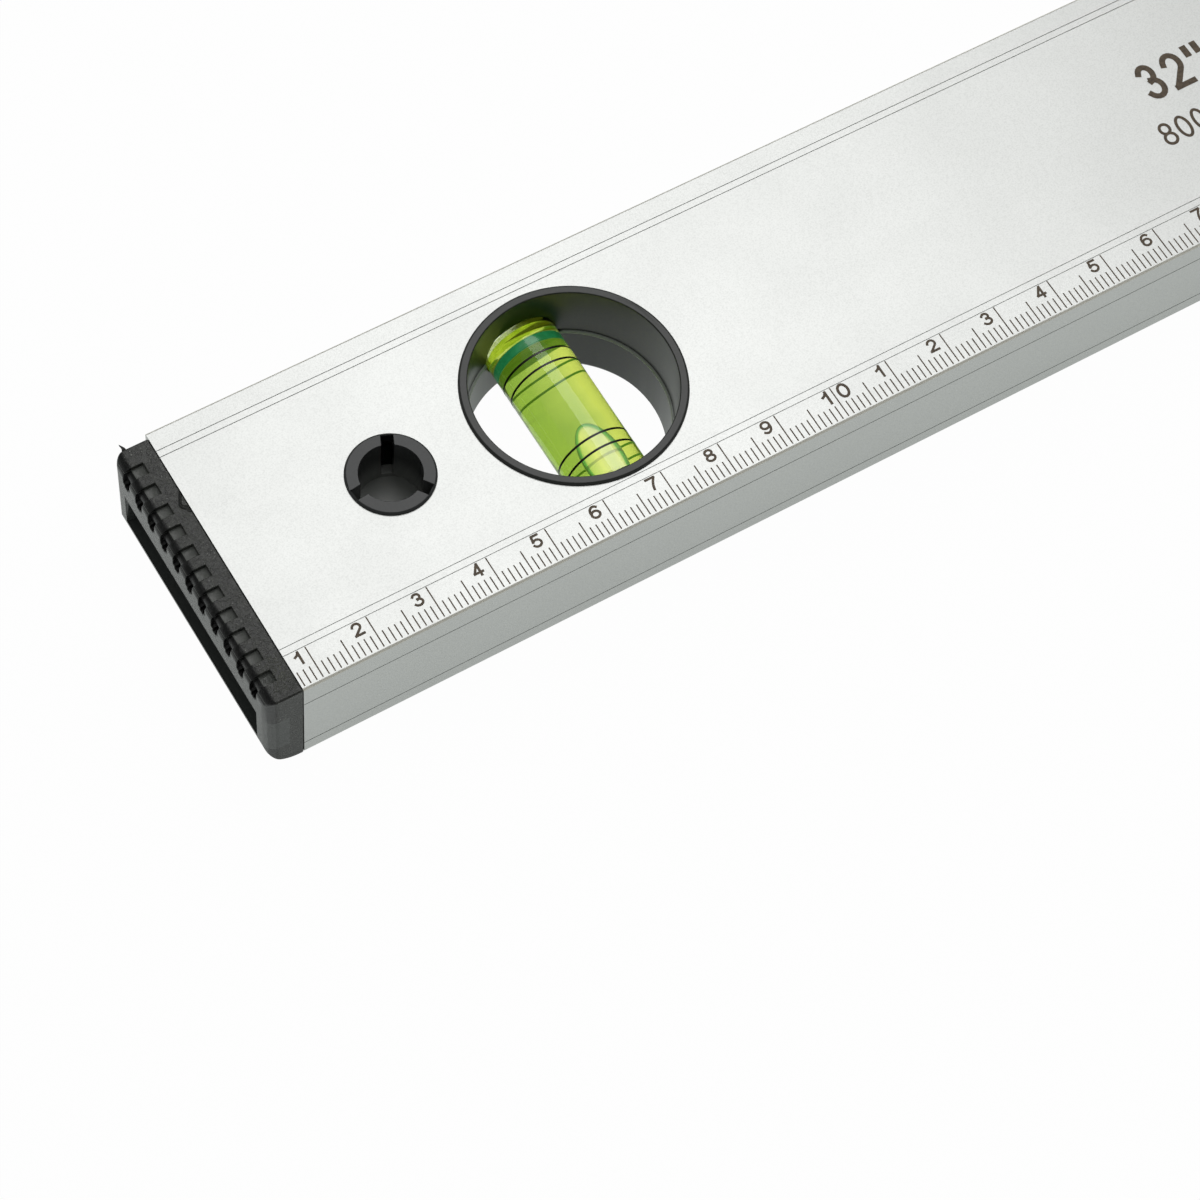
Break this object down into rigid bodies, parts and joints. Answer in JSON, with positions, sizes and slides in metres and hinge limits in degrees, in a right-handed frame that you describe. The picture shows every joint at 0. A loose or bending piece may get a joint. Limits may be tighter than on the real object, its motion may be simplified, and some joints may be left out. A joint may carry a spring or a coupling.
{
  "type": "magnetic spirit level",
  "caption": "Box-section spirit level with magnets in its base edge, round see-through windows at its ends, a centre vial read from above and a printed ruler.",
  "frame": {"origin": "under the middle of the level, on the surface that it lies on with its printed face up", "axes": "+X along the level, +Y from the magnetic base edge to the top edge, +Z out of the printed face"},
  "size_m": [0.8, 0.0484, 0.0213],
  "materials": {
    "anodised_aluminium": "blasted and clear anodised, satin",
    "cap_plastic": "moulded, lightly grained",
    "bezel_plastic": "moulded, satin",
    "plug_plastic": "moulded, satin",
    "vial_acrylic": "clear moulded acrylic, polished",
    "stopper_acrylic": "clear moulded acrylic",
    "seal_green": "smooth green seal",
    "vial_liquid": "lime green liquid",
    "magnet_nickel": "nickel plated"
  },
  "bodies": {
    "root": {"profile": "anodised_aluminium", "end_cap_left": "cap_plastic", "end_cap_right": "cap_plastic", "left_bezel_front": "bezel_plastic", "left_bezel_rear": "bezel_plastic", "right_bezel_front": "bezel_plastic", "right_bezel_rear": "bezel_plastic", "centre_frame_front": "bezel_plastic", "centre_frame_rear": "bezel_plastic", "plug_left_front": "plug_plastic", "plug_left_rear": "plug_plastic", "plug_right_front": "plug_plastic", "plug_right_rear": "plug_plastic", "left_vial": "vial_acrylic", "right_vial": "vial_acrylic", "centre_vial": "vial_acrylic", "left_stopper": "stopper_acrylic", "right_stopper": "stopper_acrylic", "centre_stopper": "stopper_acrylic", "left_seal": "seal_green", "right_seal": "seal_green", "centre_seal": "seal_green", "left_liquid": "vial_liquid", "right_liquid": "vial_liquid", "centre_liquid": "vial_liquid", "magnet_1": "magnet_nickel", "magnet_2": "magnet_nickel", "magnet_3": "magnet_nickel", "magnet_4": "magnet_nickel"}
  },
  "joints": []
}
